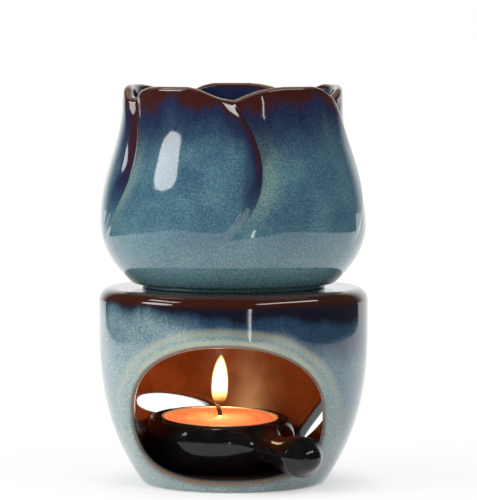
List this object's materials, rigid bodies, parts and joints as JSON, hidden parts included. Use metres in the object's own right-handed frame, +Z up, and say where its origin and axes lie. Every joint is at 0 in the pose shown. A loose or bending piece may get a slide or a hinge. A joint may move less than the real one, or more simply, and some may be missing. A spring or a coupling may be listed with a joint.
{
  "type": "essential oil burner",
  "caption": "Glazed stoneware oil burner: a tulip-shaped oil bowl of five petals on a round stove with an oval front opening, and a black ladle that carries a tealight.",
  "frame": {"origin": "centre of the stove's foot, on the surface that it stands on", "axes": "+Z up; the candle opening faces -Y; +X is to the right of a viewer who faces the opening"},
  "size_m": [0.0874, 0.0874, 0.1296],
  "materials": {
    "stove_glaze": "glossy",
    "bowl_glaze": "glossy",
    "ladle_glaze": "glossy",
    "cup_metal": "satin",
    "wax": "satin",
    "wick_cotton": "matte",
    "sustainer_metal": "satin"
  },
  "bodies": {
    "stove": {"stove_base": "stove_glaze"},
    "bowl": {"oil_bowl": "bowl_glaze"},
    "ladle": {"candle_ladle": "ladle_glaze"},
    "tealight": {"tealight_cup": "cup_metal", "tealight_wax": "wax", "wick": "wick_cotton", "wick_sustainer": "sustainer_metal"}
  },
  "joints": [
    {"name": "bowl_lift", "type": "slide", "parent": "stove", "child": "bowl", "axis": [0, 0, 1], "range_m": [0, 0.07]},
    {"name": "ladle_draw", "type": "slide", "parent": "stove", "child": "ladle", "axis": [0.172, -0.9752, 0.1392], "range_m": [0, 0.09]},
    {"name": "tealight_lift", "type": "slide", "parent": "ladle", "child": "tealight", "axis": [0.0209, -0.061, 0.9979], "range_m": [0, 0.02]}
  ]
}
